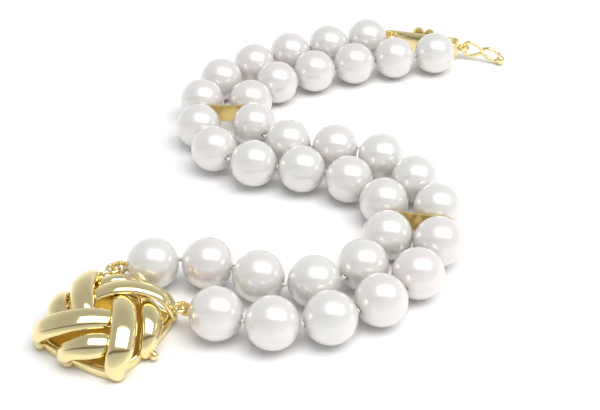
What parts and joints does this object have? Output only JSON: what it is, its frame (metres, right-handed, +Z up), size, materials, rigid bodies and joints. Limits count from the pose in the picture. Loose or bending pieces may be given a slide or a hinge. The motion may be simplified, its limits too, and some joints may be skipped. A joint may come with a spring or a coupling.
{
  "type": "pearl bracelet",
  "caption": "Two-row pearl bracelet with spacer bars, a woven gold box clasp and a hinged figure-eight safety catch, lying open in an S.",
  "frame": {"origin": "bottom centre of the bounding box, on the surface the bracelet lies on", "axes": "+Z up, +Y from the woven clasp at the near end towards the tongue at the far end"},
  "size_m": [0.0846, 0.1062, 0.0089],
  "materials": {
    "yellow_gold": "polished 18 carat yellow gold",
    "gold_wire": "fine coiled gold wire",
    "pearl": "white pearl, high lustre with a rose overtone",
    "silk": "white silk thread"
  },
  "bodies": {
    "bracelet": {"pearl_outer_01": "pearl", "pearl_outer_02": "pearl", "pearl_outer_03": "pearl", "pearl_outer_04": "pearl", "pearl_outer_05": "pearl", "pearl_outer_06": "pearl", "pearl_outer_07": "pearl", "pearl_outer_08": "pearl", "pearl_outer_09": "pearl", "pearl_outer_10": "pearl", "pearl_outer_11": "pearl", "pearl_outer_12": "pearl", "pearl_outer_13": "pearl", "pearl_outer_14": "pearl", "pearl_outer_15": "pearl", "pearl_outer_16": "pearl", "pearl_outer_17": "pearl", "pearl_outer_18": "pearl", "pearl_inner_01": "pearl", "pearl_inner_02": "pearl", "pearl_inner_03": "pearl", "pearl_inner_04": "pearl", "pearl_inner_05": "pearl", "pearl_inner_06": "pearl", "pearl_inner_07": "pearl", "pearl_inner_08": "pearl", "pearl_inner_09": "pearl", "pearl_inner_10": "pearl", "pearl_inner_11": "pearl", "pearl_inner_12": "pearl", "pearl_inner_13": "pearl", "pearl_inner_14": "pearl", "pearl_inner_15": "pearl", "pearl_inner_16": "pearl", "pearl_inner_17": "pearl", "pearl_inner_18": "pearl", "silk_thread_outer": "silk", "silk_thread_inner": "silk", "spacer_bar_1": "yellow_gold", "spacer_bar_2": "yellow_gold", "french_wire_clasp_outer": "gold_wire", "french_wire_clasp_inner": "gold_wire", "french_wire_tongue_outer": "gold_wire", "french_wire_tongue_inner": "gold_wire", "woven_clasp": "yellow_gold", "tongue": "yellow_gold"},
    "safety_catch": {"safety_catch": "yellow_gold"}
  },
  "joints": [
    {"name": "safety_catch_swing", "type": "hinge", "parent": "bracelet", "child": "safety_catch", "pos_m": [0.03357, 0.04445, 0.0025], "axis": [0, 0, 1], "range_deg": [-70, 95]}
  ]
}
